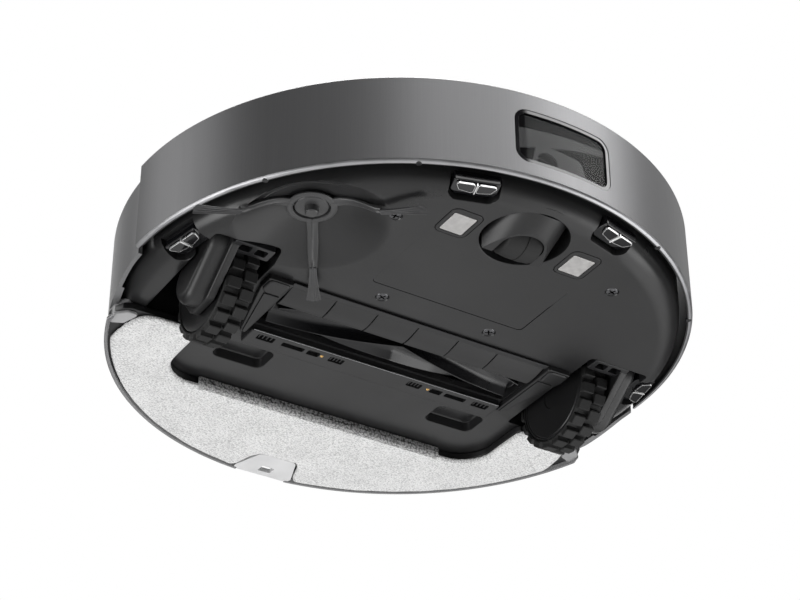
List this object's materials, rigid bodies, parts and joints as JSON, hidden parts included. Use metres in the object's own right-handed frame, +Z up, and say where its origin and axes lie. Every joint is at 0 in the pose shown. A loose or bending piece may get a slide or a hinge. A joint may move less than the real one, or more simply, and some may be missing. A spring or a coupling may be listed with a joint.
{
  "type": "robot vacuum",
  "caption": "Round robot vacuum and mop with a sprung front bumper, driven wheels, roller brush, side brush, caster and a crescent mop pad.",
  "frame": {"origin": "centre of the round body, at the height of the lowest point of the dropped wheels", "axes": "+Z up; -Y is the front, where the camera window is; +X is the right-hand side seen from the front"},
  "size_m": [0.3531, 0.3505, 0.1216],
  "materials": {
    "shell_grey": "satin metallic grey with a fine vertical brushed grain",
    "chassis_black": "fine matte charcoal moulding",
    "gloss_black": "polished black",
    "rubber_black": "matte rubber",
    "grey_rubber": "soft grey rubber and bristle",
    "nickel": "satin nickel",
    "steel": "brushed",
    "smoked_glass": "smoked clear",
    "mop_fabric": "woven microfibre loops",
    "smoke_plastic": "smoky translucent",
    "board_green": "solder mask",
    "cell_blue": "shrink sleeve",
    "filter_white": "pleated paper",
    "bin_clear": "smoky clear moulding"
  },
  "bodies": {
    "root": {"chassis": "chassis_black", "rear_shell": "shell_grey", "top_deck": "shell_grey", "camera_module": "chassis_black", "camera_lens": "gloss_black", "exhaust_grille": "chassis_black", "battery_pack": "cell_blue", "battery_door": "chassis_black", "main_board": "board_green", "fan_housing": "chassis_black", "brush_motor": "steel", "side_brush_motor": "steel", "dust_bin": "bin_clear", "dust_filter": "filter_white", "water_tank": "smoke_plastic", "charge_contact_left": "nickel", "charge_contact_right": "nickel", "cliff_sensor_front_left": "gloss_black", "cliff_sensor_front_right": "gloss_black", "cliff_sensor_side_left": "gloss_black", "cliff_sensor_side_right": "gloss_black", "screw_1": "steel", "screw_2": "steel", "screw_3": "steel", "screw_4": "steel", "lidar_base": "chassis_black", "lidar_cap": "shell_grey", "suspension_pin_left": "steel", "suspension_pin_right": "steel", "wheel_spring_left": "steel", "wheel_spring_right": "steel"},
    "bumper": {"bumper_shell": "shell_grey", "camera_window": "smoked_glass"},
    "side_brush_rotor": {"side_brush": "grey_rubber", "side_brush_tuft_1": "grey_rubber", "side_brush_tuft_2": "grey_rubber", "side_brush_tuft_3": "grey_rubber"},
    "main_brush": {"brush_core": "steel", "brush_fins": "rubber_black"},
    "guard": {"brush_guard": "chassis_black", "guard_flap": "rubber_black"},
    "suspension_left": {"wheel_arm_left": "chassis_black", "wheel_motor_left": "steel"},
    "suspension_right": {"wheel_arm_right": "chassis_black", "wheel_motor_right": "steel"},
    "wheel_left": {"wheel_hub_left": "chassis_black", "tyre_left": "rubber_black"},
    "wheel_right": {"wheel_hub_right": "chassis_black", "tyre_right": "rubber_black"},
    "caster": {"caster_fork": "chassis_black", "caster_axle": "steel"},
    "caster_roller": {"caster_wheel": "rubber_black"},
    "mop": {"mop_plate": "smoke_plastic", "mop_pad": "mop_fabric"},
    "lid": {"bin_lid": "shell_grey"},
    "lidar": {"lidar_head": "gloss_black"},
    "fan": {"fan_impeller": "smoke_plastic"},
    "power_key": {"power_button": "gloss_black"},
    "dock_key": {"dock_button": "gloss_black"}
  },
  "joints": [
    {"name": "bumper_press", "type": "slide", "parent": "root", "child": "bumper", "axis": [0, 1, 0], "range_m": [0, 0.0035], "stiffness_N_per_m": 900, "springref_m": -0.002},
    {"name": "side_brush_spin", "type": "hinge", "parent": "root", "child": "side_brush_rotor", "pos_m": [-0.109, -0.086, 0.04], "axis": [0, 0, 1], "continuous": true, "deforming": ["side_brush_tuft_1", "side_brush_tuft_2", "side_brush_tuft_3"]},
    {"name": "main_brush_spin", "type": "hinge", "parent": "root", "child": "main_brush", "pos_m": [0, 0.0035, 0.045], "axis": [1, 0, 0], "continuous": true},
    {"name": "guard_release", "type": "slide", "parent": "root", "child": "guard", "axis": [0, 0, -1], "range_m": [0, 0.03]},
    {"name": "suspension_left_swing", "type": "hinge", "parent": "root", "child": "suspension_left", "pos_m": [-0.149, -0.042, 0.053], "axis": [1, 0, 0], "range_deg": [0, 31], "stiffness_Nm_per_rad": 0.4, "springref_deg": -51.57},
    {"name": "suspension_right_swing", "type": "hinge", "parent": "root", "child": "suspension_right", "pos_m": [0.149, -0.042, 0.053], "axis": [1, 0, 0], "range_deg": [0, 31], "stiffness_Nm_per_rad": 0.4, "springref_deg": -51.57},
    {"name": "wheel_left_spin", "type": "hinge", "parent": "suspension_left", "child": "wheel_left", "pos_m": [-0.124, 0, 0.035], "axis": [1, 0, 0], "continuous": true},
    {"name": "wheel_right_spin", "type": "hinge", "parent": "suspension_right", "child": "wheel_right", "pos_m": [0.124, 0, 0.035], "axis": [1, 0, 0], "continuous": true},
    {"name": "caster_swivel", "type": "hinge", "parent": "root", "child": "caster", "pos_m": [0, -0.134, 0.045], "axis": [0, 0, 1], "continuous": true},
    {"name": "caster_roll", "type": "hinge", "parent": "caster", "child": "caster_roller", "pos_m": [0, -0.128, 0.0376], "axis": [1, 0, 0], "continuous": true},
    {"name": "mop_release", "type": "slide", "parent": "root", "child": "mop", "axis": [0, 0, -1], "range_m": [0, 0.02]},
    {"name": "lid_hinge", "type": "hinge", "parent": "root", "child": "lid", "pos_m": [0, 0.14, 0.10175], "axis": [-1, 0, 0], "range_deg": [0, 80]},
    {"name": "lidar_spin", "type": "hinge", "parent": "root", "child": "lidar", "pos_m": [0, 0.016, 0.11], "axis": [0, 0, 1], "continuous": true},
    {"name": "fan_spin", "type": "hinge", "parent": "root", "child": "fan", "pos_m": [0.092, 0.079, 0.056], "axis": [0, 0, 1], "continuous": true},
    {"name": "power_button_press", "type": "slide", "parent": "root", "child": "power_key", "axis": [0, 0, -1], "range_m": [0, 0.0008], "stiffness_N_per_m": 300, "springref_m": -0.0005},
    {"name": "dock_button_press", "type": "slide", "parent": "root", "child": "dock_key", "axis": [0, 0, -1], "range_m": [0, 0.0008], "stiffness_N_per_m": 300, "springref_m": -0.0005}
  ]
}
